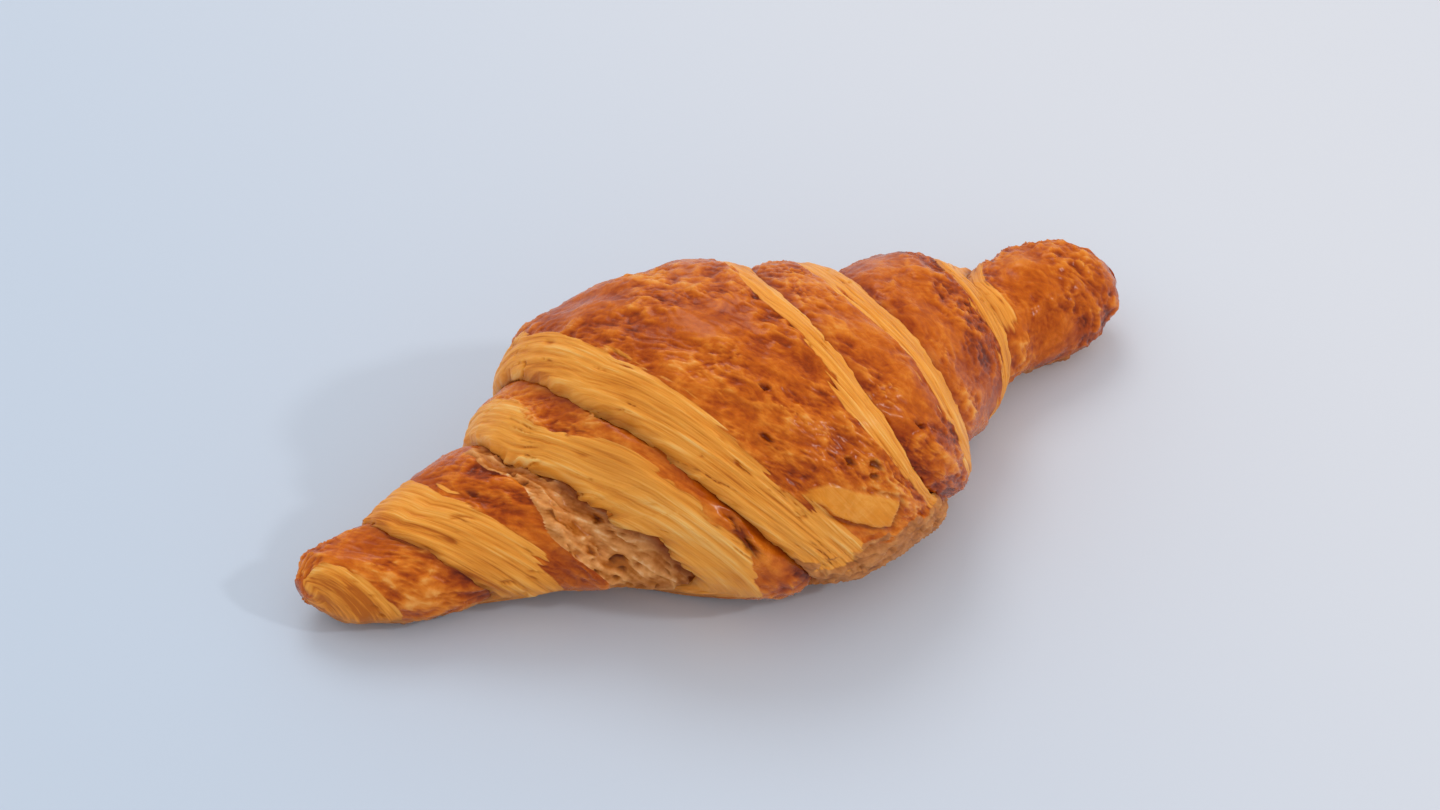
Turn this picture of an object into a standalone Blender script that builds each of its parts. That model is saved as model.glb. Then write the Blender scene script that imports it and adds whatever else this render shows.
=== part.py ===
"""A croissant: one piece of rolled, baked dough, resting on a flat base.

The dough is a triangle rolled up from its wide side, so its layers end in six
cut edges that cross the body at a slant: three left of the middle (L2, L1, L0)
and three right of it (R0, R1, R2). Each layer swells out from under its inner
neighbour and ends in a step down to the next.

The solid starts as a UV sphere with its poles at the two tips. Each vertex is
then placed by croissant_point(), from its place along the roll and its angle
round it. The angle is 0 on the crown, 90 on the front (-Y) and 180 below.

Sizes are in millimetres; vertices are placed in metres.
"""
import math

import bmesh
import bpy

MM = 0.001

# Driving dimensions
LEFT_TIP_X = -82.0
RIGHT_TIP_X = 87.0
TIP_NOSE = 1.2             # how far each rounded end runs past its last ring
NOSE_START = (-72.0, 76.0)  # beyond these the axis stays level to each tip
SEAT_DEPTH = 0.84          # height of the roll's axis over its own half height
SKEW = 0.37                # slant of the wraps in plan, as a tangent
BODY_SKEW_SHARE = 0.5      # how much of that slant the body's outline has too

# Half width of the roll and y of its centre line, at places along it
HALF_WIDTHS = (
    (-82, 3.0), (-78, 7.5), (-69, 9.8), (-60, 11.2), (-48, 14.0), (-38, 18.0),
    (-31, 24.5), (-22, 30.2), (-8, 34.0), (2, 34.4), (12, 32.0), (26, 26.9),
    (38, 20.2), (48, 15.8), (54, 13.2), (61, 12.0), (71, 12.0), (79, 10.4), (84, 7.0), (87, 3.0),
)
CENTRE_LINE = (
    (-84, 2.0), (-60, -2.5), (-40, -5.0), (-20, -9.0), (0, -11.2),
    (20, -10.2), (34, -4.6), (46, -0.5), (60, 2.0), (88, 4.0),
)
# Half height over half width: the middle is flatter, the tips are round
HEIGHT_RATIOS = (
    (-84, 0.95), (-60, 0.94), (-42, 0.88), (-20, 0.80), (0, 0.79),
    (20, 0.775), (45, 0.90), (70, 0.97),
)
# How far the underside stands off the table before it is pressed flat
LIFTS = (
    (-84, 0.6), (-62, 1.8), (-42, 4.8), (-24, 3.0), (0, 0.4),
    (28, 0.3), (46, 2.9), (62, 1.0), (88, 0.2),
)

# Surface rings and the points in each ring
RING_POINTS = 52
RINGS_PER_WRAP = (12, 11, 12, 19, 12, 12, 12)

# Steps
FOOT_RUN = 0.8             # run of the steep foot of a cut face
GROOVE_REACH = 3.5         # how far a groove dips the outer layer
LIP_REACH = 11.0           # how far a lip takes to sink back to the body
WRAP_SWELL = 1.8           # extra roundness of a side wrap between its edges
MIDDLE_SWELL = 0.5         # and of the middle wrap
FADE_START = 118.0         # steps fade out between these angles, under the body
FADE_END = 152.0
TWIST_TURN = 0.72          # share of the half turn where an edge's drift turns back
BOW_END_START = 122.0      # an edge's bow closes again between these angles
BOW_END = 175.0

# The torn seam at the outer side of edge L1, low on the front
SEAM_DEPTH = 3.0
SEAM_WIDTH = 10.5
SEAM_WIDENING = (5.0, 85.0)  # it widens from nothing between these angles
SEAM_FLOOR = 0.35            # share of its width where its far side starts to rise
SEAM_NEAR_SIDE = 1.0         # run of its near side, at the foot of the edge
SEAM_ANGLES = (25.0, 60.0, 105.0, 130.0)

# Relief shrinks to nothing at the ends, where the half width falls below this
FULL_RELIEF_WIDTH = 16.0
# Passes that settle the slant of a skin point
SLANT_PASSES = 8

CRUST_COLOUR = (0.50, 0.17, 0.035, 1.0)


class Edge:
    """One cut edge of the dough, where a wrap ends in a step."""

    def __init__(self, name, crown_x, back, front, bow, side, face, foot, lip, groove):
        self.name = name
        self.crown_x = crown_x     # where the foot of the step crosses the crown
        self.back = back           # how far it moves along X over half a turn to the back
        self.front = front         # and to the front
        self.bow = bow             # how far it also bows towards +X, low on the front
        self.side = side           # -1: the step faces the left tip, +1: the right
        self.face = face           # width of the sloping cut face
        self.foot = foot           # height of its steep foot
        self.lip = lip             # height of the lip over the body
        self.groove = groove       # depth of the groove at the foot

    def along(self, angle):
        drift = self.back if angle < 0 else self.front
        return self.crown_x + drift * drift_wave(angle) + self.bow * bow_wave(angle)


EDGES = (
    Edge("L2", -67, 4, 12, 4, -1, face=6.0, foot=1.2, lip=0.8, groove=1.0),
    Edge("L1", -45, 9, 15, 7, -1, face=5.5, foot=1.8, lip=1.2, groove=1.5),
    Edge("L0", -33, 9, 6, 28, -1, face=5.5, foot=1.8, lip=0.8, groove=1.5),
    Edge("R0", 7, 50, -20, 46, 1, face=3.5, foot=1.5, lip=1.0, groove=1.2),
    Edge("R1", 27, 30, -14, 24, 1, face=4.5, foot=1.5, lip=1.2, groove=1.2),
    Edge("R2", 53.5, 36, -9, 0, 1, face=3.5, foot=1.8, lip=1.0, groove=1.5),
)


def smooth(low, high, value):
    """0 below low, 1 above high, and an S curve between."""
    share = min(max((value - low) / (high - low), 0.0), 1.0)
    return share * share * (3.0 - 2.0 * share)


def curve_value(stations, x):
    """Value at x of the smooth curve through (x, value) stations."""
    if x <= stations[0][0]:
        return stations[0][1]
    if x >= stations[-1][0]:
        return stations[-1][1]
    slopes = []
    gaps = [(b[1] - a[1]) / (b[0] - a[0]) for a, b in zip(stations, stations[1:])]
    for before, after in zip([gaps[0]] + gaps, gaps + [gaps[-1]]):
        # a harmonic mean keeps the curve from overshooting
        same_way = before * after > 0
        slopes.append(2 * before * after / (before + after) if same_way else 0.0)
    for i in range(len(stations) - 1):
        (x0, v0), (x1, v1) = stations[i], stations[i + 1]
        if x <= x1:
            run = x1 - x0
            u = (x - x0) / run
            rise = smooth(0, 1, u)
            ease_in = slopes[i] * run * u * (1 - u) ** 2
            ease_out = slopes[i + 1] * run * u * u * (u - 1)
            return v0 + (v1 - v0) * rise + ease_in + ease_out


def drift_wave(angle):
    """An edge's drift along X: it grows over the top and closes underneath."""
    turn = abs(angle) / 180.0
    if turn > TWIST_TURN:
        turn = TWIST_TURN * (1 - smooth(TWIST_TURN, 1.0, turn))
    return turn


def bow_wave(angle):
    """An edge's extra drift low on the front, which closes again underneath."""
    if angle <= 0:
        return 0.0
    share = (0.5 - 0.5 * math.cos(math.radians(angle))) ** 2
    return share * (1 - smooth(BOW_END_START, BOW_END, angle))


def half_width(x):
    return curve_value(HALF_WIDTHS, x)


def half_height(x):
    return half_width(x) * curve_value(HEIGHT_RATIOS, x)


def axis_height(x):
    level_x = min(max(x, NOSE_START[0]), NOSE_START[1])
    return SEAT_DEPTH * half_height(level_x) + curve_value(LIFTS, level_x)


def seam_depth(edge, outward, angle):
    """The torn seam: a hollow just outside edge L1, low on the front."""
    if edge.name != "L1":
        return 0.0
    start, full, full_end, end = SEAM_ANGLES
    share = smooth(start, full, angle) * (1 - smooth(full_end, end, angle))
    width = SEAM_WIDTH * smooth(*SEAM_WIDENING, angle)
    if share == 0 or width == 0:
        return 0.0
    across = smooth(-SEAM_NEAR_SIDE, SEAM_NEAR_SIDE, outward) * (1 - smooth(SEAM_FLOOR, 1.0, outward / width))
    return SEAM_DEPTH * share * across


def step_relief(edge, along, angle):
    """Height that one cut edge adds to the surface, fading out underneath."""
    outward = edge.side * (along - edge.along(angle))
    if outward >= 0:
        height = -edge.groove * math.exp(-outward / GROOVE_REACH)
    else:
        inward = -outward
        rest = edge.lip + edge.groove - edge.foot
        height = (-edge.groove + edge.foot * smooth(0, FOOT_RUN, inward)
                  + rest * smooth(0, edge.face, inward))
        height *= math.exp(-max(inward - edge.face, 0.0) / LIP_REACH)
    fade = 1 - smooth(FADE_START, FADE_END, abs(angle))
    return fade * (height - seam_depth(edge, outward, angle))


def croissant_point(along, angle, relief):
    """A point of the skin, in mm, at a place along the roll and an angle."""
    turn = math.radians(angle)
    x = along
    for _ in range(SLANT_PASSES):
        outline_x = along + BODY_SKEW_SHARE * (x - along)
        x = along + (half_width(outline_x) + relief) * math.sin(turn) * SKEW
    wide = half_width(outline_x) + relief
    high = half_height(outline_x) + relief
    y = curve_value(CENTRE_LINE, x) - wide * math.sin(turn)
    z = axis_height(outline_x) + high * math.cos(turn)
    return x, y, max(z, 0.0)


def ring_places():
    """For each ring: the wrap it is in, and how far across that wrap."""
    places = []
    for wrap, count in enumerate(RINGS_PER_WRAP):
        for i in range(count):
            # rings crowd towards both edges of the wrap
            places.append((wrap, 0.5 - 0.5 * math.cos(math.pi * i / count)))
    places.append((len(RINGS_PER_WRAP) - 1, 1.0))
    return places


def place_on_skin(wrap, share, angle):
    """Place along the roll, and relief there, for a ring's point."""
    left = LEFT_TIP_X if wrap == 0 else EDGES[wrap - 1].along(angle)
    right = RIGHT_TIP_X if wrap == len(EDGES) else EDGES[wrap].along(angle)
    along = left + share * (right - left)
    relief = sum(step_relief(edge, along, angle) for edge in EDGES)
    swell = MIDDLE_SWELL if wrap == len(EDGES) // 2 else WRAP_SWELL
    if 0 < wrap < len(EDGES):
        relief += swell * math.sin(math.pi * share)
    # the ends are small, so their relief is small as well
    return along, relief * smooth(0.0, FULL_RELIEF_WIDTH, half_width(along))


def shape_croissant(mesh):
    places = ring_places()
    bm = bmesh.new()
    bmesh.ops.create_uvsphere(
        bm, u_segments=RING_POINTS, v_segments=len(places) + 1, radius=1.0)
    for vert in bm.verts:
        row = round(math.acos(max(-1.0, min(1.0, vert.co.z))) / math.pi * (len(places) + 1))
        angle = math.degrees(math.atan2(vert.co.y, vert.co.x))
        if row in (0, len(places) + 1):
            tip = LEFT_TIP_X - TIP_NOSE if row == 0 else RIGHT_TIP_X + TIP_NOSE
            place = (tip, curve_value(CENTRE_LINE, tip), axis_height(tip))
        else:
            wrap, share = places[row - 1]
            along, relief = place_on_skin(wrap, share, angle)
            place = croissant_point(along, angle, relief)
        vert.co = [size * MM for size in place]
    bmesh.ops.recalc_face_normals(bm, faces=bm.faces)
    bm.to_mesh(mesh)
    bm.free()


def centre_on_origin(mesh):
    """Move the solid so that its box stands centred on the origin."""
    xs = [vert.co.x for vert in mesh.vertices]
    ys = [vert.co.y for vert in mesh.vertices]
    for vert in mesh.vertices:
        vert.co.x -= (min(xs) + max(xs)) / 2
        vert.co.y -= (min(ys) + max(ys)) / 2


def crust_material():
    material = bpy.data.materials.new("crust")
    material.use_nodes = True
    shader = material.node_tree.nodes["Principled BSDF"]
    shader.inputs["Base Color"].default_value = CRUST_COLOUR
    shader.inputs["Roughness"].default_value = 0.45
    shader.inputs["Metallic"].default_value = 0.0
    return material


def main():
    for thing in list(bpy.data.objects):
        bpy.data.objects.remove(thing)
    collection = bpy.data.collections.new("croissant")
    bpy.context.scene.collection.children.link(collection)
    mesh = bpy.data.meshes.new("croissant")
    shape_croissant(mesh)
    centre_on_origin(mesh)
    mesh.materials.append(crust_material())
    croissant = bpy.data.objects.new("croissant", mesh)
    collection.objects.link(croissant)
    mesh.shade_smooth()


main()
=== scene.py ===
"""Looks for the croissant: seven overlapping wraps of flaky, glazed dough.

Each wrap is its own closed mesh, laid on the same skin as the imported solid, with the
grain of the cut faces, the wrinkles of the glaze and the torn crumb as real relief.
Shape sizes are in millimetres and angles in degrees: 0 is the crown, 90 the front
(-Y), 180 the underside. Vertices are placed in metres.
"""

import math

import bpy
import numpy as np
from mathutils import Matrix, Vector


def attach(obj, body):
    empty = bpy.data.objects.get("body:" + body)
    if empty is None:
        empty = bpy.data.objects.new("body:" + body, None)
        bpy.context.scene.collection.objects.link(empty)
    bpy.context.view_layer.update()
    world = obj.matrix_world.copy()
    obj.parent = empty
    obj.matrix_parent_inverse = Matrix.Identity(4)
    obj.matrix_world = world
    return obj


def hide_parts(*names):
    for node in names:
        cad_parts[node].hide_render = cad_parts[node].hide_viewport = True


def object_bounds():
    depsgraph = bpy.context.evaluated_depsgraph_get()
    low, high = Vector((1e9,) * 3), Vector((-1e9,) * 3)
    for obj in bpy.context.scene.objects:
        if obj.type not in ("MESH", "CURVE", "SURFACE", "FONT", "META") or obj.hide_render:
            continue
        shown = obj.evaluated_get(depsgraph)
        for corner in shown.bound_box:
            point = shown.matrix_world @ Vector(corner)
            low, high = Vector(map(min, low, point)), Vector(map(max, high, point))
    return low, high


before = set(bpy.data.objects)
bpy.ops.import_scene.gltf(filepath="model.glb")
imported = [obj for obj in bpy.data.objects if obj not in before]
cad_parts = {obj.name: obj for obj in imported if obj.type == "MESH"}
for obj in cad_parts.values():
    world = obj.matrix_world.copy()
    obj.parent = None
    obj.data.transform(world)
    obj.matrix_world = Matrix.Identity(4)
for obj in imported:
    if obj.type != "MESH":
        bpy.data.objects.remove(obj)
CAD_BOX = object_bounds()

NODE = "croissant"
SEED = 7

# ---------------------------------------------------------------------------
# The skin of the solid, from the same stations and sizes as the solid itself. Tables of
# stations hold pairs: place along the roll, value there.
# ---------------------------------------------------------------------------
LEFT_TIP_X = -82.0
RIGHT_TIP_X = 87.0
TIP_NOSE = 1.2
NOSE_START = (-72.0, 76.0)      # beyond these the axis stays level
SEAT_DEPTH = 0.84               # height of the axis, as a share of the half height
SKEW = 0.37                     # how far a wrap's front leans along X
BODY_SKEW_SHARE = 0.5           # and how much of that the outline follows
HALF_WIDTHS = (
    (-82, 3.0), (-78, 7.5), (-69, 9.8), (-60, 11.2), (-48, 14.0), (-38, 18.0),
    (-31, 24.5), (-22, 30.2), (-8, 34.0), (2, 34.4), (12, 32.0), (26, 26.9),
    (38, 20.2), (48, 15.8), (54, 13.2), (61, 12.0), (71, 12.0), (79, 10.4), (84, 7.0), (87, 3.0),
)
CENTRE_LINE = (
    (-84, 2.0), (-60, -2.5), (-40, -5.0), (-20, -9.0), (0, -11.2),
    (20, -10.2), (34, -4.6), (46, -0.5), (60, 2.0), (88, 4.0),
)
# gap that would be left under the roll if it weren't pressed flat
LIFTS = (
    (-84, 0.6), (-62, 1.8), (-42, 4.8), (-24, 3.0), (0, 0.4),
    (28, 0.3), (46, 2.9), (62, 1.0), (88, 0.2),
)
HEIGHT_RATIOS = (
    (-84, 0.95), (-60, 0.94), (-42, 0.88), (-20, 0.80), (0, 0.79),
    (20, 0.775), (45, 0.90), (70, 0.97),
)
FOOT_RUN = 0.8
GROOVE_REACH = 3.5
LIP_REACH = 11.0
WRAP_SWELL = 1.8
MIDDLE_SWELL = 0.5
FADE_START = 118.0
FADE_END = 152.0
TWIST_TURN = 0.72               # share of a half turn where an edge drifts furthest
BOW_CLOSING = (122.0, 175.0)
TIP_FADE_WIDTH = 16.0           # half width where the relief is at its full height
SEAM_DEPTH = 3.0
SEAM_ANGLES = (25.0, 60.0, 105.0, 130.0)


class Edge:
    """One cut edge of the dough: where its foot runs, and the size of its step."""

    def __init__(self, name, crown_x, back, front, bow, side, face, foot, lip, groove, pale,
                 widening=0.0):
        self.name = name
        self.crown_x = crown_x
        self.back = back           # how far it moves along X over half a turn to the back
        self.front = front         # and to the front
        self.bow = bow             # extra drift low on the front
        self.side = side           # -1 left of the middle, 1 right of it
        self.face = face           # run of the cut face
        self.foot = foot           # sheer step at its foot
        self.lip = lip             # height of its top over the skin
        self.groove = groove       # depth of the skin outside its foot
        self.pale = pale           # width of its pale, unglazed strip
        self.widening = widening   # how much wider the strip is low on the front

    def along(self, angle):
        drift = np.where(angle < 0, self.back, self.front)
        return self.crown_x + drift * twist_wave(angle) + self.bow * bow_wave(angle)


EDGES = (
    # name, crown_x, back, front, bow, side, face, foot, lip, groove
    Edge("L2", -67, 4, 12, 4, -1, 6.0, 1.2, 0.8, 1.0, pale=9.5),
    Edge("L1", -45, 9, 15, 7, -1, 5.5, 1.8, 1.2, 1.5, pale=6.2),
    Edge("L0", -33, 9, 6, 28, -1, 5.5, 1.8, 0.8, 1.5, pale=8.3, widening=0.45),
    Edge("R0", 7, 50, -20, 46, 1, 3.5, 1.5, 1.0, 1.2, pale=5.6, widening=-0.4),
    Edge("R1", 27, 30, -14, 24, 1, 4.5, 1.5, 1.2, 1.2, pale=7.0),
    Edge("R2", 53.5, 36, -9, 0, 1, 3.5, 1.8, 1.0, 1.5, pale=6.5),
)
SEAM_EDGE = 1
SEAM_WIDTH = 10.5
SEAM_TOP_WIDTH = 3.8
MIDDLE = 3


def smooth(low, high, value):
    share = np.clip((value - low) / (high - low), 0.0, 1.0)
    return share * share * (3.0 - 2.0 * share)


def curve_value(stations, x):
    """Smooth curve through (x, value) stations, without overshoot."""
    xs = np.array([station[0] for station in stations], float)
    vs = np.array([station[1] for station in stations], float)
    x = np.clip(x, xs[0], xs[-1])
    gaps = np.diff(vs) / np.diff(xs)
    before = np.concatenate(([gaps[0]], gaps))
    after = np.concatenate((gaps, [gaps[-1]]))
    total = np.where(before + after == 0, 1.0, before + after)
    slopes = np.where(before * after > 0, 2 * before * after / total, 0.0)
    i = np.clip(np.searchsorted(xs, x) - 1, 0, len(xs) - 2)
    run = xs[i + 1] - xs[i]
    u = (x - xs[i]) / run
    ease = slopes[i] * run * u * (1 - u) ** 2 + slopes[i + 1] * run * u * u * (u - 1)
    return vs[i] + (vs[i + 1] - vs[i]) * smooth(0, 1, u) + ease


def twist_wave(angle):
    turn = np.abs(angle) / 180.0
    closing = TWIST_TURN * (1 - smooth(TWIST_TURN, 1.0, turn))
    return np.where(turn > TWIST_TURN, closing, turn)


def bow_wave(angle):
    """An edge's extra drift low on the front, which closes again underneath."""
    share = (0.5 - 0.5 * np.cos(np.radians(angle))) ** 2
    return np.where(angle > 0, share * (1 - smooth(*BOW_CLOSING, angle)), 0.0)


def half_width(x):
    return curve_value(HALF_WIDTHS, x)


def half_height(x):
    return half_width(x) * curve_value(HEIGHT_RATIOS, x)


def axis_height(x):
    level_x = np.clip(x, NOSE_START[0], NOSE_START[1])
    return SEAT_DEPTH * half_height(level_x) + curve_value(LIFTS, level_x)


def skin_point(along, angle, relief):
    """Points of the skin in mm, as an array of x, y, z."""
    turn = np.radians(angle)
    x = along
    for _ in range(8):
        outline_x = along + BODY_SKEW_SHARE * (x - along)
        x = along + (half_width(outline_x) + relief) * np.sin(turn) * SKEW
    wide = half_width(outline_x) + relief
    high = half_height(outline_x) + relief
    y = curve_value(CENTRE_LINE, x) - wide * np.sin(turn)
    z = axis_height(outline_x) + high * np.cos(turn)
    return np.stack([x, y, z], -1)


def seam_share(angle):
    start, full, full_end, end = SEAM_ANGLES
    return smooth(start, full, angle) * (1 - smooth(full_end, end, angle))


def step_relief(edge, outward, angle):
    """Height that one cut edge adds, at a distance outward from its foot."""
    outside = -edge.groove * np.exp(-np.maximum(outward, 0) / GROOVE_REACH)
    inward = np.maximum(-outward, 0)
    rest = edge.lip + edge.groove - edge.foot
    inside = (-edge.groove + edge.foot * smooth(0, FOOT_RUN, inward)
              + rest * smooth(0, edge.face, inward))
    inside = inside * np.exp(-np.maximum(inward - edge.face, 0.0) / LIP_REACH)
    fade = 1 - smooth(FADE_START, FADE_END, np.abs(angle))
    return fade * np.where(outward >= 0, outside, inside)


# ---------------------------------------------------------------------------
# Noise on arrays of points. The whole number after the points is the noise's seed.
# ---------------------------------------------------------------------------
def lattice(ix, iy, iz, seed):
    """A fixed number from -1 to 1 for each whole-numbered lattice point."""
    mixed = (ix * 73856093) ^ (iy * 19349663) ^ (iz * 83492791) ^ (seed * 2654435761)
    mixed = mixed & 0xFFFFFFFF
    mixed = ((mixed >> 16) ^ mixed) * 0x45D9F3B & 0xFFFFFFFF
    mixed = ((mixed >> 16) ^ mixed) * 0x45D9F3B & 0xFFFFFFFF
    mixed = (mixed >> 16) ^ mixed
    return (mixed & 0xFFFFFF) / float(0x7FFFFF) - 1.0


def noise(points, seed):
    """Smooth value noise, -1 to 1, with features about one unit across."""
    cell = np.floor(points).astype(np.int64)
    part = points - cell
    part = part ** 3 * (part * (part * 6 - 15) + 10)
    total = 0.0
    for dx in (0, 1):
        for dy in (0, 1):
            for dz in (0, 1):
                weight = ((part[..., 0] if dx else 1 - part[..., 0])
                          * (part[..., 1] if dy else 1 - part[..., 1])
                          * (part[..., 2] if dz else 1 - part[..., 2]))
                total = total + weight * lattice(
                    cell[..., 0] + dx, cell[..., 1] + dy, cell[..., 2] + dz, seed + SEED)
    return total


def layered_noise(points, seed, octaves=3):
    total = 0.0
    size = 1.0
    reach = 0.0
    for octave in range(octaves):
        total = total + size * noise(points * 2.03 ** octave, seed + 31 * octave)
        reach += size
        size *= 0.5
    return total / reach


def ridged_noise(points, seed, octaves=2):
    """Sharp ridges: 1 on a ridge, falling to 0 in the hollows."""
    total = 0.0
    size = 1.0
    reach = 0.0
    for octave in range(octaves):
        ridge = 1 - np.abs(noise(points * 1.9 ** octave, seed + 17 * octave))
        total = total + size * ridge ** 2
        reach += size
        size *= 0.5
    return total / reach


def strip_points(around, across, around_size, across_size, layer=0.0):
    """Noise coordinates stretched along a wrap."""
    return np.stack([around / around_size, across / across_size,
                     np.zeros_like(around) + layer], -1)


# ---------------------------------------------------------------------------
# One wrap's grid
# ---------------------------------------------------------------------------
FACE_STEP = 0.22           # row spacing on a cut face
FOOT_ROWS = (0.0, 0.1, 0.2, 0.3, 0.42, 0.55, 0.7)    # closer rows up its foot
FACE_START = 0.9           # first of its evenly spaced rows
FACE_MARGIN = 2.5          # how far they go on past the pale strip
FACE_SHARE = 0.8           # and the most of a wrap's width that they take
GLAZE_STEP = 0.38          # row spacing elsewhere
NOSE_ROWS = (0.0, 0.002, 0.006, 0.012)    # shares of the width, at a tip
NOSE_END = 0.015
COLUMN_STEP = 0.42         # column spacing on the crown, before crowding
COLUMN_CROWDING = 0.35     # how much closer columns are on top than underneath
COLUMN_SHARE = 0.62        # share of the circumference that sets their number
LAYER_SLANT = 0.11         # turn of the thin layers off an edge, left of the middle
RIGHT_LAYER_SLANT = 0.03   # and right of it
# hidden rows that lead an end down inside its neighbour: distances away and down
ROOT_ROWS = ((0.25, 0.7, 1.4), (1.0, 2.6, 5.5))      # from a cut face's foot
TUCK_ROWS = ((0.9, 2.2, 4.0), (0.7, 2.2, 5.0))       # from an end under a cut face


def row_distances(width, left_edge, right_edge):
    """Distances across a wrap of its rows, close together on its cut faces."""
    def face_rows(edge):
        reach = min(edge.pale + FACE_MARGIN, width * FACE_SHARE)
        return np.concatenate([FOOT_ROWS, np.arange(FACE_START, reach, FACE_STEP)])

    def glaze_rows(start, end):
        return np.linspace(start, end, int((end - start) / GLAZE_STEP) + 2)

    left = face_rows(left_edge) if left_edge else np.array([0.0])
    right = width - face_rows(right_edge)[::-1] if right_edge else np.array([width])
    return np.concatenate([left, glaze_rows(left[-1], right[0])[1:-1], right])


class Wrap:
    """Grid of one wrap: place along the roll, angle, and depth below the skin."""

    def __init__(self, index):
        self.index = index
        self.left = EDGES[index - 1] if index > 0 else None
        self.right = EDGES[index] if index < len(EDGES) else None
        # an edge belongs to the wrap nearer the middle, whose foot it is
        self.left_foot = self.left if self.left and index <= MIDDLE else None
        self.right_foot = self.right if self.right and index >= MIDDLE else None
        left_x = self.left.crown_x if self.left else LEFT_TIP_X
        right_x = self.right.crown_x if self.right else RIGHT_TIP_X
        width = right_x - left_x
        rows, extra, depth = self.row_plan(width)
        widest = float(np.max(half_width(np.linspace(left_x, right_x, 20))))
        columns = int(2 * math.pi * widest * COLUMN_SHARE / COLUMN_STEP)
        u = np.arange(columns) / columns * 2 - 1
        angle = 180 * ((1 - COLUMN_CROWDING) * u + COLUMN_CROWDING * u ** 3)
        self.radius = 0.5 * (widest + float(half_width(0.5 * (left_x + right_x))))
        self.share, self.angle = np.meshgrid(rows, angle, indexing="ij")
        self.depth = np.repeat(depth[:, None], columns, 1)
        self.around = np.radians(self.angle) * self.radius
        self.left_x = self.edge_line(self.left, LEFT_TIP_X, self.left_foot)
        self.right_x = self.edge_line(self.right, RIGHT_TIP_X, self.right_foot)
        self.along = self.left_x + self.share * (self.right_x - self.left_x) + extra[:, None]
        # distance across that follows both edges, and the slant of the thin layers in it
        from_x = self.left.along(self.angle) if self.left else LEFT_TIP_X
        to_x = self.right.along(self.angle) if self.right else RIGHT_TIP_X
        self.across = (self.along - from_x) / (to_x - from_x) * width
        slant = LAYER_SLANT if index <= MIDDLE else RIGHT_LAYER_SLANT
        self.layer = self.across - slant * self.around
        self.extra_bake_and_shade = 0.0            # browning of its bare dough; on the wrap right of the middle, painted shade low on its front

    def row_plan(self, width):
        """Each row's share of the width, distance past it, and depth below the skin."""
        rows = row_distances(width, self.left_foot, self.right_foot) / width
        nose = np.array(NOSE_ROWS)
        if not self.left:
            rows = np.concatenate([nose, rows[rows > NOSE_END]])
        if not self.right:
            rows = np.concatenate([rows[rows < 1 - NOSE_END], 1 - nose[::-1]])
        extra, depth = np.zeros_like(rows), np.zeros_like(rows)
        if self.left:
            away, down = np.array(ROOT_ROWS if self.left_foot else TUCK_ROWS)[:, ::-1]
            sign = 1 if self.left_foot else -1
            rows = np.concatenate([np.zeros_like(away), rows])
            extra = np.concatenate([sign * away, extra])
            depth = np.concatenate([down, depth])
        if self.right:
            away, down = np.array(ROOT_ROWS if self.right_foot else TUCK_ROWS)
            sign = -1 if self.right_foot else 1
            rows = np.concatenate([rows, np.ones_like(away)])
            extra = np.concatenate([extra, sign * away])
            depth = np.concatenate([depth, down])
        return rows, extra, depth

    def edge_line(self, edge, tip_x, is_foot):
        """Where an edge runs, for every point; a wrap's own foot is ragged."""
        if not edge:
            return np.full_like(self.angle, tip_x)
        line = edge.along(self.angle)
        if is_foot:
            line = line + edge.side * ragged_foot(edge, self.angle, self.around)
        return line

    def inward(self, edge):
        """Distance from an edge's foot, towards the middle of the body."""
        line = self.left_x if edge is self.left else self.right_x
        return -edge.side * (self.along - line)


def ragged_foot(edge, angle, around):
    """How far the torn foot of a cut face sticks out, in mm."""
    seed = 400 + int(edge.crown_x)
    layer = strip_points(around, around * 0, 6.0, 1.0)
    wave = 0.55 * layered_noise(layer, seed, 3)
    nicks = 0.45 * noise(strip_points(around, around * 0, 1.3, 1.0), seed + 5)
    tear = 1.0 + 1.6 * seam_share(angle) * (edge is EDGES[SEAM_EDGE])
    return (wave + nicks * smooth(-0.2, 0.6, wave)) * tear


# ---------------------------------------------------------------------------
# Masks and relief of a wrap
# ---------------------------------------------------------------------------
FOLD_SLANT = 0.55          # how far the glaze's ridges turn off the wrap's direction
TIP_BAND = -78.4           # beyond this the left tip is bare, layered dough
TIP_BAND_SLANT = 4.8       # how far it moves along X in a quarter turn
TIP_BAND_WIDTH = 2.0       # and further than this beyond it, browner
DRY_ANGLE = 97.0           # below this the middle wrap's front is bare and rough
DRY_TILT = 0.3             # how many degrees that line rises for each mm along
DRY_MIDDLE_X = -8.0        # from here
DRY_RAGGED = 14.0          # and how many degrees it wanders


class Pit:
    """A small hole or dent burst in the glaze, darkened with painted shade."""

    def __init__(self, wrap_index, along, angle, length, width, depth):
        self.wrap_index = wrap_index
        self.along = along
        self.angle = angle
        self.length = length       # round the wrap
        self.width = width
        self.depth = depth


PITS = (
    # wrap, along, angle, length, width, depth
    Pit(1, -54, 12, 1.1, 0.7, 0.5),
    Pit(2, -29, 80, 3.4, 1.4, 1.2),
    Pit(2, -28, 86, 1.2, 0.9, 1.1),
    Pit(3, -19, 45, 1.3, 0.7, 0.8),
    Pit(3, -13, 30, 0.8, 0.8, 0.9),
    Pit(3, -9, 60, 1.3, 0.8, 0.9),
    Pit(3, -5, 64, 1.4, 1.0, 1.0),
    Pit(3, -6, 68, 0.9, 1.0, 0.8),
    Pit(4, 9, 57, 1.2, 0.8, 0.9),
)
# how much browner the glaze of each wrap is
BAKES = (0.2, 0.3, -0.4, 0.0, 0.4, 1.0, 1.3)
EXTRA_BAKE_AND_SHADE = 4.0                 # extra browning where a wrap's value is 1, and painted shade low on the front of the wrap right of the middle
L2_RUST = 0.4
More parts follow.
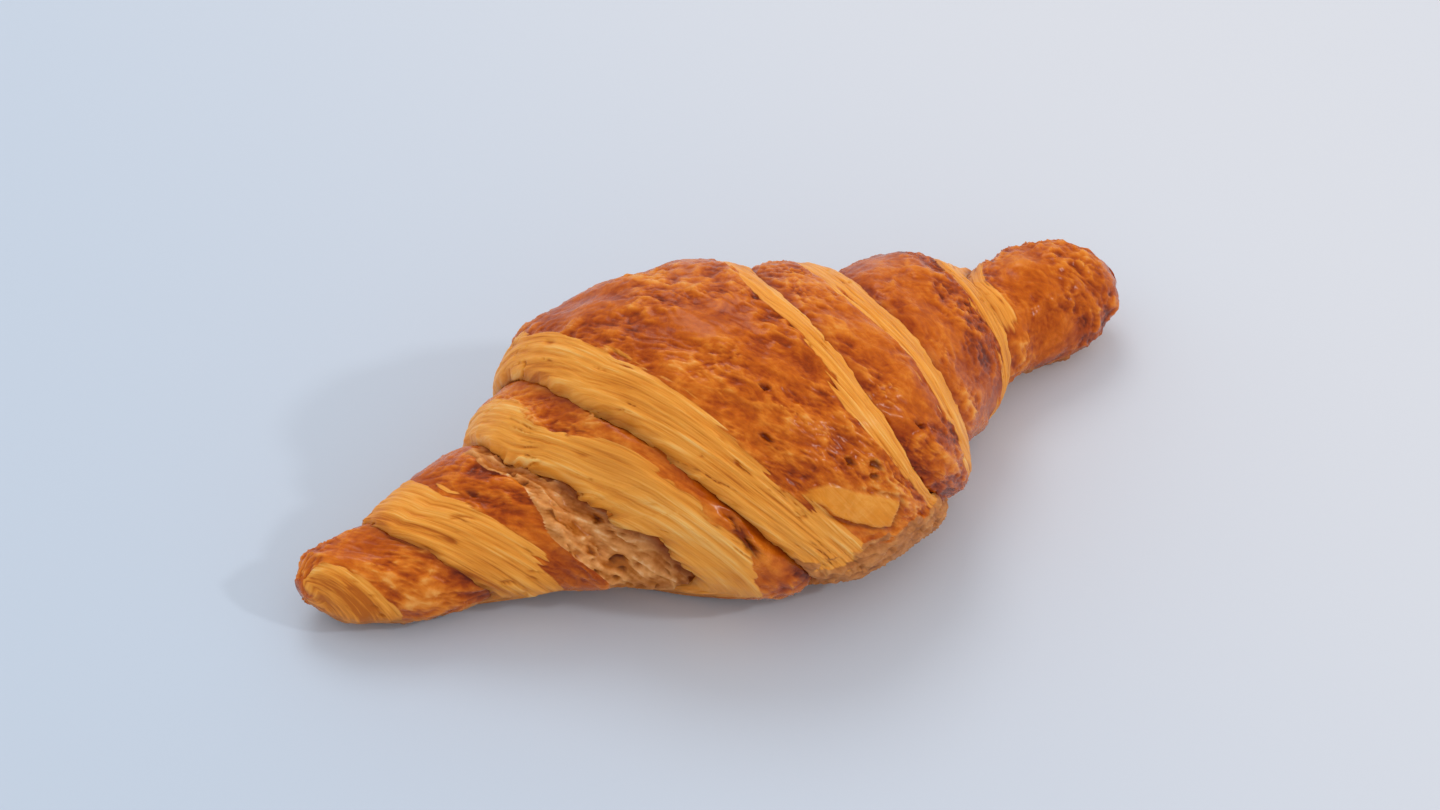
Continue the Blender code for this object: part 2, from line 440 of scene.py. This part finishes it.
# corners of a loose flap of skin low on the middle wrap: place along, angle
FLAP = ((-20, 66), (-14, 65), (-3, 80), (-5, 90), (-12, 83))
FLAP_RISE = 0.9
GROOVE_SHADE_REACH = 1.1


def pale_mask(wrap):
    """1 on the unglazed cut faces, with tongues where the glaze begins."""
    mask = np.zeros_like(wrap.along)
    for edge in (wrap.left_foot, wrap.right_foot):
        if not edge:
            continue
        inward = wrap.inward(edge)
        seed = 500 + int(edge.crown_x)
        tongues = layered_noise(strip_points(wrap.around, wrap.layer, 13.0, 1.3), seed, 3)
        wander = noise(strip_points(wrap.around, inward * 0, 24.0, 1.0), seed + 9)
        pale = edge.pale * (1 + edge.widening * smooth(58, 88, wrap.angle))
        crooked = np.minimum(pale * 0.34, 2.8)
        reach = pale + crooked * tongues + 0.14 * pale * wander
        mask = np.maximum(mask, 1 - smooth(-0.7, 0.8, inward - reach))
    if not wrap.left:
        front = smooth(-30, 15, wrap.angle) * (1 - smooth(150, 175, wrap.angle))
        rough = 0.9 * layered_noise(strip_points(wrap.around, wrap.along, 9.0, 1.2), 520, 3)
        bare = TIP_BAND + rough + TIP_BAND_SLANT * wrap.angle / 90.0 - 4.0 * (1 - front)
        mask = np.maximum(mask, 1 - smooth(-0.4, 0.6, wrap.along - bare))
        wrap.extra_bake_and_shade = 1 - smooth(-0.8, 0.8, wrap.along - bare + TIP_BAND_WIDTH)
    if wrap.index == 1:
        wrap.extra_bake_and_shade = L2_RUST * (1 - smooth(1.5, 6.0, wrap.inward(wrap.left)))
    # painted shade low on the front of the wrap right of the middle
    if wrap.index == MIDDLE + 1:
        wrap.extra_bake_and_shade = 0.5 * smooth(78, 98, wrap.angle)
    if not wrap.right:
        outward = -wrap.inward(wrap.left)
        top = smooth(-75, -35, wrap.angle) * (1 - smooth(35, 80, wrap.angle))
        rough = 1.8 * layered_noise(strip_points(wrap.around, outward, 6.0, 1.6), 521, 3)
        mask = np.maximum(mask, 0.8 * top * (1 - smooth(-1.2, 1.2, outward - 4.2 - rough)))
    return mask


def flap_distance(wrap):
    """Distance inside the flap's outline, in mm; negative outside it."""
    inside = np.full_like(wrap.along, 99.0)
    corners = [np.array([along, math.radians(angle) * wrap.radius]) for along, angle in FLAP]
    for i, start in enumerate(corners):
        run = corners[(i + 1) % len(corners)] - start
        run = run / np.linalg.norm(run)
        distance = (wrap.along - start[0]) * run[1] - (wrap.around - start[1]) * run[0]
        inside = np.minimum(inside, -distance)
    return inside


def pit_field(wrap):
    """Depth of the pits in mm, and how much painted shade each point takes from their holes."""
    depth = np.zeros_like(wrap.along)
    hole_shade = np.zeros_like(wrap.along)
    for number, pit in enumerate(PITS):
        if pit.wrap_index != wrap.index:
            continue
        u = (wrap.around - math.radians(pit.angle) * wrap.radius) / pit.length
        v = (wrap.along - pit.along - 0.35 * u * pit.width) / pit.width
        bend = 0.45 * noise(strip_points(wrap.around, wrap.along, 0.9, 0.9, number), 530)
        away = np.sqrt(u * u + v * v) + bend
        hole = 1 - smooth(0.45, 1.0, away)
        rim = np.exp(-((away - 1.25) / 0.30) ** 2)
        depth += pit.depth * hole - 0.22 * rim
        hole_shade = np.maximum(hole_shade, hole)
    return depth, hole_shade


def dry_mask(wrap):
    """1 on the bare, rough dough low on the front of the middle wrap."""
    if wrap.index != MIDDLE:
        return np.zeros_like(wrap.along)
    rough = layered_noise(strip_points(wrap.around, wrap.along, 4.0, 4.0), 541, 3)
    line = DRY_ANGLE - DRY_TILT * (wrap.along - DRY_MIDDLE_X) - DRY_RAGGED * rough
    return smooth(-4.0, 4.0, wrap.angle - line)


def groove_shade_mask(wrap):
    """Painted shade, partly also glaze pooled in the groove: 1 deep in the groove at a neighbour's
    foot, and at the root of a cut face.
    """
    shade = np.zeros_like(wrap.along)
    for edge in (wrap.left, wrap.right):
        if not edge:
            continue
        inward = wrap.inward(edge)
        if edge is wrap.left_foot or edge is wrap.right_foot:
            shade = np.maximum(shade, 0.75 * (1 - smooth(0.0, 0.55, inward)))
        else:
            shade = np.maximum(shade, np.exp(-np.maximum(-inward, 0) / GROOVE_SHADE_REACH))
    return shade


def seam_mask(wrap):
    """1 in the torn seam, which lies on the wrap just outside edge L1."""
    if wrap.right is not EDGES[SEAM_EDGE]:
        return np.zeros_like(wrap.along)
    outward = -wrap.inward(wrap.right)
    width = SEAM_TOP_WIDTH + (SEAM_WIDTH - SEAM_TOP_WIDTH) * smooth(5, 75, wrap.angle)
    rough = 1.0 * layered_noise(strip_points(wrap.around, outward * 0, 5.0, 1.0), 611, 3)
    share = smooth(-45, -20, wrap.angle) * (1 - smooth(132, 155, wrap.angle))
    return share * (1 - smooth(-0.35, 0.35, outward - width - rough))


def leaf_relief(wrap, base):
    """Cut faces: thin layers lying along the edge, a few of them split open."""
    warp = 0.35 * noise(strip_points(wrap.around, wrap.across, 21.0, 9.0, wrap.index), 31)
    slanted = wrap.layer + warp
    leaves = noise(strip_points(wrap.around, slanted, 14.0, 0.80, wrap.index), 32)
    threads = noise(strip_points(wrap.around, slanted, 6.0, 0.42, wrap.index), 33)
    gaps = ridged_noise(strip_points(wrap.around, slanted, 8.0, 1.1, wrap.index), 34, 1)
    split = smooth(0.84, 0.97, gaps) * smooth(0.0, 0.5, noise(base / 4.0, 35))
    tones = {"streak": 0.5 * leaves + 0.5 * threads - 1.1 * split}
    return 0.16 * leaves + 0.14 * threads - 0.45 * split, tones


def glaze_relief(wrap, base):
    """Glaze: crinkled ridges between smooth stretches, and a few blisters."""
    fold_a = wrap.around + FOLD_SLANT * wrap.across
    fold_b = wrap.across - FOLD_SLANT * wrap.around
    bend = 2.4 * noise(base / 4.5, 41)
    folds = strip_points(fold_a + bend, fold_b - bend, 4.8, 2.0, wrap.index)
    small_folds = strip_points(fold_a - bend, fold_b + bend, 2.4, 1.1, wrap.index)
    swells = noise(strip_points(fold_a, fold_b, 9.0, 4.5, wrap.index), 46)
    rough_patch = smooth(-0.35, 0.35, layered_noise(base / 11.0, 43, 2))
    blister = smooth(0.30, 0.75, noise(base / 3.0, 44))
    crease = 0.65 * ridged_noise(folds, 42, 2) + 0.50 * ridged_noise(small_folds, 45, 2) - 0.50
    crease = crease * (0.25 + 0.75 * rough_patch) + 0.12 * swells
    relief = 1.05 * crease + 0.35 * swells + 0.22 * blister * (0.4 + rough_patch)
    return relief, {"crease": crease, "blister": blister}


def crumb_relief(wrap, base):
    """Torn crumb: thin ragged layers with small holes between them."""
    ragged = wrap.layer + 0.9 * noise(base / 4.0, 53)
    layers = ridged_noise(strip_points(wrap.around, ragged, 5.0, 1.0, wrap.index), 51, 3)
    holes = smooth(0.25, 0.6, layered_noise(base / 1.3, 54, 2))
    lumps = layered_noise(base / 4.5, 52, 2)
    return 1.2 * (layers - 0.45) - 0.9 * holes + 0.6 * lumps, {"pores": layers - 0.5 * holes}


def rough_relief(base):
    """Bare dough: small clods and pores."""
    clods = ridged_noise(base / 2.2, 56, 3)
    return 0.3 + 0.9 * clods - 0.6 * smooth(0.2, 0.6, noise(base / 1.4, 57)), {"rough": clods}


def flap_relief(wrap, base, fine, groove):
    """Lays the loose flap over the relief, with a dent under its lower side and painted shadow in it.
    """
    inside = flap_distance(wrap) + 0.5 * noise(base / 2.5, 58)
    on_flap = smooth(-0.15, 0.35, inside)
    lower = smooth(60, 88, wrap.angle)
    # painted shadow in the gap under the flap's lower side, added to the groove's painted shade
    under = np.exp(-((inside + 0.7) / 0.55) ** 2) * lower
    fine = fine * (1 - 0.85 * on_flap) + FLAP_RISE * on_flap * (0.25 + 0.75 * lower)
    return fine - 0.8 * under, on_flap, np.maximum(groove, 0.9 * under)


def build_relief(wrap, mask):
    """Fine relief in mm over the skin, and the tones that go with it."""
    base = skin_point(wrap.along, wrap.angle, wrap.coarse)
    lump = 0.45 * layered_noise(base / 15.0, 21, 2)
    flute = 0.22 * noise(strip_points(wrap.around, wrap.across, 26.0, 4.2, wrap.index), 22)
    grain, leaf_tones = leaf_relief(wrap, base)
    glaze, glaze_tones = glaze_relief(wrap, base)
    crumb, crumb_tones = crumb_relief(wrap, base)
    rough, rough_tones = rough_relief(base)
    tones = {**leaf_tones, **glaze_tones, **crumb_tones, **rough_tones}
    pale, seam, dry = mask["pale"], mask["seam"], mask["dry"]
    fine = grain * pale + glaze * (1 - pale)
    fine = fine * (1 - dry) + rough * dry
    fine = fine * (1 - seam) + crumb * seam
    tones["flap"] = np.zeros_like(pale)
    if wrap.index == MIDDLE:
        fine, tones["flap"], mask["groove"] = flap_relief(wrap, base, fine, mask["groove"])
    depth, tones["pit"] = pit_field(wrap)
    shown = np.where(wrap.depth > 0, 0.0, 1.0)
    return (lump + flute + fine - depth) * shown, tones


def coarse_relief(wrap):
    """The steps and swells that the solid has too."""
    share = np.clip(wrap.share, 0, 1)
    relief = np.zeros_like(wrap.along)
    if 0 < wrap.index < len(EDGES):
        swell = MIDDLE_SWELL if wrap.index == MIDDLE else WRAP_SWELL
        relief += swell * np.sin(math.pi * share)
    for edge in EDGES:
        outward = edge.side * (wrap.along - edge.along(wrap.angle))
        if edge is wrap.left or edge is wrap.right:
            outward = -wrap.inward(edge)
            if edge is wrap.left_foot or edge is wrap.right_foot:
                outward = np.minimum(outward, 0)
            else:
                outward = np.maximum(outward, 0)
        relief += step_relief(edge, outward, wrap.angle)
    if wrap.right is EDGES[SEAM_EDGE]:
        outward = np.maximum(-wrap.inward(wrap.right), 0)
        width = SEAM_WIDTH * smooth(5, 85, wrap.angle) + 0.01
        bowl = 1 - smooth(0.35, 1.0, outward / width)
        rim = np.exp(-((outward - width - 0.5) / 0.7) ** 2)
        relief += seam_share(wrap.angle) * (0.7 * rim - SEAM_DEPTH * bowl)
    return relief * smooth(0.0, TIP_FADE_WIDTH, half_width(wrap.along))


def grid_normals(points):
    """Unit normals of a grid whose columns close round."""
    across = np.gradient(points, axis=0)
    around = np.roll(points, -1, axis=1) - np.roll(points, 1, axis=1)
    normal = np.cross(around, across)
    length = np.linalg.norm(normal, axis=-1, keepdims=True)
    return normal / np.maximum(length, 1e-9)


def shape_wrap(index):
    """Vertices in mm, and attribute arrays, of one wrap."""
    wrap = Wrap(index)
    wrap.coarse = coarse_relief(wrap)
    # groove: painted shade at each foot, partly also pooled glaze
    mask = {"pale": pale_mask(wrap), "seam": seam_mask(wrap),
            "dry": dry_mask(wrap), "groove": groove_shade_mask(wrap)}
    fine, tones = build_relief(wrap, mask)
    points = skin_point(wrap.along, wrap.angle, wrap.coarse - wrap.depth)
    normals = grid_normals(points)
    outward = points - skin_point(wrap.along, wrap.angle, wrap.coarse - wrap.depth - 1.0)
    flip = np.sign(np.sum(normals * outward, axis=-1, keepdims=True))
    points = points + normals * flip * fine[..., None]
    points[..., 2] = np.maximum(points[..., 2], 0.0)
    wrap.points = points
    wrap.mask = mask
    wrap.tones = tones
    return wrap


# ---------------------------------------------------------------------------
# Meshes
# ---------------------------------------------------------------------------
def grid_faces(rows, columns):
    i, j = np.meshgrid(np.arange(rows - 1), np.arange(columns), indexing="ij")
    nxt = (j + 1) % columns
    quads = np.stack([i * columns + j, i * columns + nxt,
                      (i + 1) * columns + nxt, (i + 1) * columns + j], -1)
    return quads.reshape(-1, 4).tolist()


def make_piece(wrap, name, material, place):
    rows, columns = wrap.along.shape
    first = wrap.points[0].mean(axis=0)
    last = wrap.points[-1].mean(axis=0)
    if wrap.left is None:
        first[0] -= TIP_NOSE
    if wrap.right is None:
        last[0] += TIP_NOSE
    verts = np.concatenate([wrap.points.reshape(-1, 3), [first, last]])
    faces = grid_faces(rows, columns)
    start, end = rows * columns, rows * columns + 1
    for j in range(columns):
        nxt = (j + 1) % columns
        faces.append([start, nxt, j])
        faces.append([end, (rows - 1) * columns + j, (rows - 1) * columns + nxt])
    mesh = bpy.data.meshes.new(name)
    mesh.from_pydata(place(verts).tolist(), [], faces)
    # each wrap's browning, with the painted shade low on the front of the wrap right of the middle
    bake_and_shade = BAKES[wrap.index] + EXTRA_BAKE_AND_SHADE * wrap.extra_bake_and_shade + np.zeros_like(wrap.along)
    for key, value in {**wrap.mask, **wrap.tones, "bake_and_shade": bake_and_shade}.items():
        layer = mesh.attributes.new(key, "FLOAT", "POINT")
        layer.data.foreach_set("value", np.concatenate([value.ravel(), [0.0, 0.0]]))
    flow = mesh.attributes.new("flow", "FLOAT_VECTOR", "POINT")
    coordinates = np.stack([wrap.around, wrap.layer,
                            np.full_like(wrap.along, 10.0 * wrap.index)], -1).reshape(-1, 3)
    coordinates = np.concatenate([coordinates, np.zeros((2, 3))])
    flow.data.foreach_set("vector", coordinates.ravel())
    mesh.materials.append(material)
    mesh.shade_smooth()
    mesh.validate()
    piece = bpy.data.objects.new(name, mesh)
    bpy.context.scene.collection.objects.link(piece)
    return piece


def place_in_box(wraps):
    """Function that turns mm into metres, so that the wraps fill the solid's box."""
    every = np.concatenate([wrap.points.reshape(-1, 3) for wrap in wraps])
    low, high = every.min(axis=0), every.max(axis=0)
    low[0] = min(low[0], wraps[0].points[0].mean(axis=0)[0] - TIP_NOSE)
    high[0] = max(high[0], wraps[-1].points[-1].mean(axis=0)[0] + TIP_NOSE)
    cad_low, cad_high = np.array(CAD_BOX[0]), np.array(CAD_BOX[1])
    scale = (cad_high - cad_low) / (high - low)
    return lambda points: cad_low + (points - low) * scale


# ---------------------------------------------------------------------------
# Material
# ---------------------------------------------------------------------------
def linear(red, green, blue):
    """A colour given as sRGB 0-255, turned to the linear values Blender uses."""
    def channel(value):
        value /= 255.0
        return value / 12.92 if value <= 0.04045 else ((value + 0.055) / 1.055) ** 2.4
    return (channel(red), channel(green), channel(blue), 1.0)


class Nodes:
    """Short calls for building a material's node tree."""

    def __init__(self, material):
        material.use_nodes = True
        self.tree = material.node_tree
        self.shader = self.tree.nodes["Principled BSDF"]

    def link(self, source, target):
        self.tree.links.new(source, target)

    def put(self, socket, value):
        if isinstance(value, bpy.types.NodeSocket):
            self.link(value, socket)
        else:
            socket.default_value = value

    def attribute(self, name, output="Fac"):
        node = self.tree.nodes.new("ShaderNodeAttribute")
        node.attribute_name = name
        return node.outputs[output]

    def maths(self, operation, first, second=0.0, third=None):
        node = self.tree.nodes.new("ShaderNodeMath")
        node.operation = operation
        self.put(node.inputs[0], first)
        self.put(node.inputs[1], second)
        if third is not None:
            self.put(node.inputs[2], third)
        return node.outputs[0]

    def sum_of(self, *terms):
        """Adds (value, factor) terms."""
        total = None
        for value, factor in terms:
            if isinstance(value, (int, float)):
                piece = value * factor
                total = piece if total is None else self.maths("ADD", total, piece)
            elif total is None:
                total = self.maths("MULTIPLY", value, factor)
            else:
                total = self.maths("MULTIPLY_ADD", value, factor, total)
        return total

    def scaled(self, vector, scale):
        node = self.tree.nodes.new("ShaderNodeVectorMath")
        node.operation = "MULTIPLY"
        self.link(vector, node.inputs[0])
        node.inputs[1].default_value = scale
        return node.outputs[0]

    def noise(self, vector, scale, detail=3.0, roughness=0.55, distortion=0.0):
        node = self.tree.nodes.new("ShaderNodeTexNoise")
        self.link(vector, node.inputs["Vector"])
        node.inputs["Scale"].default_value = scale
        node.inputs["Detail"].default_value = detail
        node.inputs["Roughness"].default_value = roughness
        node.inputs["Distortion"].default_value = distortion
        return node.outputs["Fac"]

    def ramp(self, value, *stops):
        node = self.tree.nodes.new("ShaderNodeValToRGB")
        ramp = node.color_ramp
        while len(ramp.elements) < len(stops):
            ramp.elements.new(0.5)
        for element, (place, colour) in zip(ramp.elements, stops):
            element.position = place
            element.color = colour
        self.put(node.inputs["Fac"], value)
        return node.outputs["Color"]

    def mix(self, factor, first, second, blend="MIX"):
        node = self.tree.nodes.new("ShaderNodeMix")
        node.data_type = "RGBA"
        node.blend_type = blend
        self.put(node.inputs["Factor"], factor)
        self.put(node.inputs["A"], first)
        self.put(node.inputs["B"], second)
        return node.outputs["Result"]

    def step(self, low, high, value):
        node = self.tree.nodes.new("ShaderNodeMapRange")
        node.interpolation_type = "SMOOTHSTEP"
        self.put(node.inputs["Value"], value)
        node.inputs["From Min"].default_value = low
        node.inputs["From Max"].default_value = high
        return node.outputs["Result"]


GLAZE_TONES = ((0.0, linear(112, 36, 0)), (0.25, linear(166, 66, 0)), (0.5, linear(202, 98, 10)),
               (0.75, linear(228, 130, 36)), (1.0, linear(244, 166, 80)))
PALE_TONES = ((0.0, linear(190, 100, 20)), (0.3, linear(230, 142, 44)), (0.62, linear(248, 166, 66)),
              (1.0, linear(255, 200, 116)))
CRUMB_TONES = ((0.0, linear(112, 46, 0)), (0.4, linear(186, 106, 34)), (0.75, linear(232, 158, 88)),
               (1.0, linear(255, 206, 150)))
BASE_TONES = ((0.0, linear(120, 62, 22)), (0.5, linear(190, 116, 58)), (1.0, linear(226, 156, 90)))
FLAP_TONES = ((0.0, linear(206, 116, 20)), (0.5, linear(234, 150, 44)), (1.0, linear(250, 184, 92)))
# colour of the painted shade in the grooves, the pits and under the flap; in the grooves it also
# stands for pooled glaze
SHADE_TONE = linear(104, 24, 4)


FIELDS = ("pale", "seam", "dry", "groove", "streak", "crease", "pores", "blister",
          "rough", "flap", "pit", "bake_and_shade")
IOR = 1.45
SPECULAR_LEVEL = 0.10
COAT_WEIGHT = 0.18
COAT_ROUGHNESS = 0.20
SUBSURFACE_WEIGHT = 0.12
SUBSURFACE_SCALE = 0.0015
SUBSURFACE_RADIUS = (1.0, 0.45, 0.2)
MOST_ROUGH = 0.9
BUMP_DISTANCE = 0.00022
BUMP_STRENGTH = 0.7
BASE_HEIGHT = 0.007        # in m: the dough is bare below about this height
FLAP_COVER = 0.7
GROOVE_SHADE = 0.62
PIT_SHADE = 0.85


def crust_grain(make, place):
    """Noise that follows the layers, in 1/mm, and noise in plain space, in 1/m."""
    flow = make.attribute("flow", "Vector")
    cracks = make.noise(place, 120.0, 3.0, 0.6, 1.2)
    cracks = make.maths("ABSOLUTE", make.sum_of((cracks, 2.0), (1, -1.0)))
    return {
        "hairs": make.noise(make.scaled(flow, (0.07, 1.7, 1.0)), 1.0, 3.0, 0.6, 0.25),
        "bands": make.noise(make.scaled(flow, (0.035, 0.42, 1.0)), 1.0, 2.0, 0.5, 0.4),
        "flecks": make.noise(make.scaled(flow, (0.26, 0.50, 1.0)), 1.0, 4.0, 0.70, 1.6),
        "threads": make.noise(make.scaled(flow, (0.16, 3.4, 1.0)), 1.0, 2.0, 0.6, 0.2),
        "cracks": make.step(0.0, 0.16, cracks),
        "mottle": make.noise(place, 190.0, 4.0, 0.65, 0.8),
        "clouds": make.noise(place, 55.0, 2.0, 0.5, 0.2),
        "specks": make.noise(place, 620.0, 2.0, 0.6),
    }


def crust_areas(make, place, field, grain):
    """How far each point is pale cut face, torn seam, and bare dough."""
    pale = make.sum_of((field["pale"], 1.0), (grain["hairs"], 0.5), (grain["mottle"], 0.4), (1, -0.45))
    seam = make.sum_of((field["seam"], 1.0), (grain["specks"], 0.3), (1, -0.15))
    height = make.tree.nodes.new("ShaderNodeSeparateXYZ")
    make.link(place, height.inputs[0])
    under = make.sum_of((height.outputs["Z"], -1 / BASE_HEIGHT), (grain["mottle"], 1.2), (1, 0.75))
    front = make.sum_of((field["dry"], 1.0), (grain["mottle"], 0.5), (1, -0.25))
    bare = make.maths("MAXIMUM", make.step(0.5, 0.9, under), make.step(0.4, 0.7, front))
    bare = make.maths("MULTIPLY", bare, make.maths("SUBTRACT", 1.0, field["flap"]))
    return make.step(0.30, 0.62, pale), make.step(0.35, 0.60, seam), bare


def crust_colour(make, field, grain, pale, seam, bare):
    """Colour of the glaze, with the other kinds of surface laid over it in turn, and painted shade
    over all.
    """
    glaze_tone = make.sum_of(
        (field["crease"], 0.95), (grain["mottle"], 0.55), (grain["flecks"], 0.50),
        (grain["clouds"], 0.85), (grain["cracks"], 0.07), (field["blister"], 0.10),
        (field["bake_and_shade"], -0.11), (1, -0.53))
    pale_tone = make.sum_of(
        (field["streak"], 0.34), (grain["hairs"], 1.0), (grain["threads"], 0.75),
        (grain["bands"], 0.5), (grain["clouds"], 0.2), (field["bake_and_shade"], -0.08), (1, -0.72))
    crumb_tone = make.sum_of(
        (field["pores"], 0.75), (grain["specks"], 0.5), (grain["mottle"], 0.5), (1, -0.24))
    flap_tone = make.sum_of(
        (grain["hairs"], 0.7), (grain["mottle"], 0.9), (grain["clouds"], 0.6), (1, -0.6))
    base_tone = make.sum_of(
        (grain["mottle"], 0.9), (grain["specks"], 0.8), (field["rough"], 0.6), (1, -0.62))
    colour = make.ramp(glaze_tone, *GLAZE_TONES)
    colour = make.mix(pale, colour, make.ramp(pale_tone, *PALE_TONES))
    colour = make.mix(seam, colour, make.ramp(crumb_tone, *CRUMB_TONES))
    flap = make.maths("MULTIPLY", field["flap"], FLAP_COVER)
    colour = make.mix(flap, colour, make.ramp(flap_tone, *FLAP_TONES))
    colour = make.mix(bare, colour, make.ramp(base_tone, *BASE_TONES))
    # painted shade: the grooves (partly pooled glaze), the gap under the flap and the pit holes turn
    # towards the shade tone
    groove_shade = make.maths("MULTIPLY", field["groove"], GROOVE_SHADE)
    pit_shade = make.maths("MULTIPLY", field["pit"], PIT_SHADE)
    return make.mix(make.maths("MAXIMUM", groove_shade, pit_shade), colour, SHADE_TONE)


def crust_bump(make, grain, pale, bare):
    """The finest grain, too small for the mesh."""
    bump = make.tree.nodes.new("ShaderNodeBump")
    bump.inputs["Distance"].default_value = BUMP_DISTANCE
    bump.inputs["Strength"].default_value = BUMP_STRENGTH
    layers = make.sum_of((grain["hairs"], 0.6), (grain["threads"], 0.7))
    layers = make.maths("MULTIPLY", layers, make.maths("MAXIMUM", pale, bare))
    make.put(bump.inputs["Height"],
             make.sum_of((layers, 1.0), (grain["specks"], 0.35), (grain["mottle"], 0.25)))
    return bump.outputs["Normal"]


def crust_material():
    material = bpy.data.materials.new("crust_flaky")
    make = Nodes(material)
    place = make.tree.nodes.new("ShaderNodeTexCoord").outputs["Object"]
    field = {name: make.attribute(name) for name in FIELDS}
    grain = crust_grain(make, place)
    pale, seam, bare = crust_areas(make, place, field, grain)
    rough = make.sum_of((pale, 0.20), (seam, 0.34), (bare, 0.30), (grain["mottle"], 0.22), (1, 0.15))
    inputs = make.shader.inputs
    make.link(crust_colour(make, field, grain, pale, seam, bare), inputs["Base Color"])
    make.link(make.maths("MINIMUM", rough, MOST_ROUGH), inputs["Roughness"])
    make.link(crust_bump(make, grain, pale, bare), inputs["Normal"])
    inputs["IOR"].default_value = IOR
    inputs["Specular IOR Level"].default_value = SPECULAR_LEVEL
    inputs["Coat Weight"].default_value = COAT_WEIGHT
    inputs["Coat Roughness"].default_value = COAT_ROUGHNESS
    inputs["Subsurface Weight"].default_value = SUBSURFACE_WEIGHT
    inputs["Subsurface Scale"].default_value = SUBSURFACE_SCALE
    inputs["Subsurface Radius"].default_value = SUBSURFACE_RADIUS
    return material


# ---------------------------------------------------------------------------
# Floor, lights and camera
# ---------------------------------------------------------------------------
# painted light: the floor turns brighter and more neutral towards the right
FLOOR_LEFT = linear(198, 211, 228)
FLOOR_RIGHT = linear(218, 221, 229)
FLOOR_TURN = (-0.14, 0.16)     # where along X one turns to the other
FLOOR_HALF = 3.0
FLOOR_ROUGHNESS = 0.8
FLOOR_SPECULAR = 0.2
WORLD_STRENGTH = 0.75
# name, azimuth, elevation, distance, size, power; azimuth 0 is in front, 90 right
LAMPS = (
    ("key", 38, 38, 1.6, 0.12, 4.0),
    ("window", 165, 56, 1.5, 0.8, 4.6),
)
CAMERA_AZIMUTH = -29.0
CAMERA_ELEVATION = 43.0
CAMERA_DISTANCE = 0.62
CAMERA_LENS = 85.0
CAMERA_CLIP_START = 0.01


def add_floor():
    mesh = bpy.data.meshes.new("floor")
    half = FLOOR_HALF
    corners = [(-half, -half, 0), (half, -half, 0), (half, half, 0), (-half, half, 0)]
    mesh.from_pydata(corners, [], [(0, 1, 2, 3)])
    material = bpy.data.materials.new("floor")
    make = Nodes(material)
    place = make.tree.nodes.new("ShaderNodeTexCoord").outputs["Object"]
    split = make.tree.nodes.new("ShaderNodeSeparateXYZ")
    make.link(place, split.inputs[0])
    # painted light across the floor, brighter towards the right
    turn = make.step(*FLOOR_TURN, split.outputs["X"])
    make.link(make.mix(turn, FLOOR_LEFT, FLOOR_RIGHT), make.shader.inputs["Base Color"])
    make.shader.inputs["Roughness"].default_value = FLOOR_ROUGHNESS
    make.shader.inputs["Specular IOR Level"].default_value = FLOOR_SPECULAR
    mesh.materials.append(material)
    floor = bpy.data.objects.new("floor", mesh)
    bpy.context.scene.collection.objects.link(floor)


def place_facing(thing, azimuth, elevation, distance, target):
    """Places a lamp or camera at a distance from the target, and turns it to face it."""
    turn, rise = math.radians(azimuth), math.radians(elevation)
    away = np.array([math.sin(turn) * math.cos(rise), -math.cos(turn) * math.cos(rise),
                     math.sin(rise)])
    thing.location = target + away * distance
    direction = Vector(target) - Vector(thing.location)
    thing.rotation_euler = direction.to_track_quat("-Z", "Y").to_euler()
    bpy.context.scene.collection.objects.link(thing)


def add_lights(target):
    world = bpy.data.worlds.new("studio")
    bpy.context.scene.world = world
    world.use_nodes = True
    background = world.node_tree.nodes["Background"]
    background.inputs["Color"].default_value = (1, 1, 1, 1)
    background.inputs["Strength"].default_value = WORLD_STRENGTH
    for name, azimuth, elevation, distance, size, power in LAMPS:
        lamp = bpy.data.lights.new(name, "AREA")
        lamp.shape = "DISK"
        lamp.size = size
        lamp.energy = power
        place_facing(bpy.data.objects.new(name, lamp), azimuth, elevation, distance, target)


def add_camera(target):
    camera = bpy.data.cameras.new("camera")
    camera.lens = CAMERA_LENS
    camera.clip_start = CAMERA_CLIP_START
    thing = bpy.data.objects.new("camera", camera)
    place_facing(thing, CAMERA_AZIMUTH, CAMERA_ELEVATION, CAMERA_DISTANCE, target)
    bpy.context.scene.camera = thing


WRAP_NAMES = ("left_tip", "left_outer", "left_inner", "middle",
              "right_inner", "right_outer", "right_tip")
AIM_POINT = np.array([0.0, 0.0, 18.0])    # what the camera and lamps face


def main():
    wraps = [shape_wrap(index) for index in range(len(WRAP_NAMES))]
    place = place_in_box(wraps)
    material = crust_material()
    for wrap, name in zip(wraps, WRAP_NAMES):
        piece = make_piece(wrap, "wrap_" + name, material, place)
        print(piece.name, len(piece.data.polygons) * 2)
        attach(piece, "root")
        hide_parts(NODE)
    target = place(AIM_POINT)
    add_floor()
    add_lights(target)
    add_camera(target)
    bpy.context.scene.view_settings.view_transform = "Standard"


main()
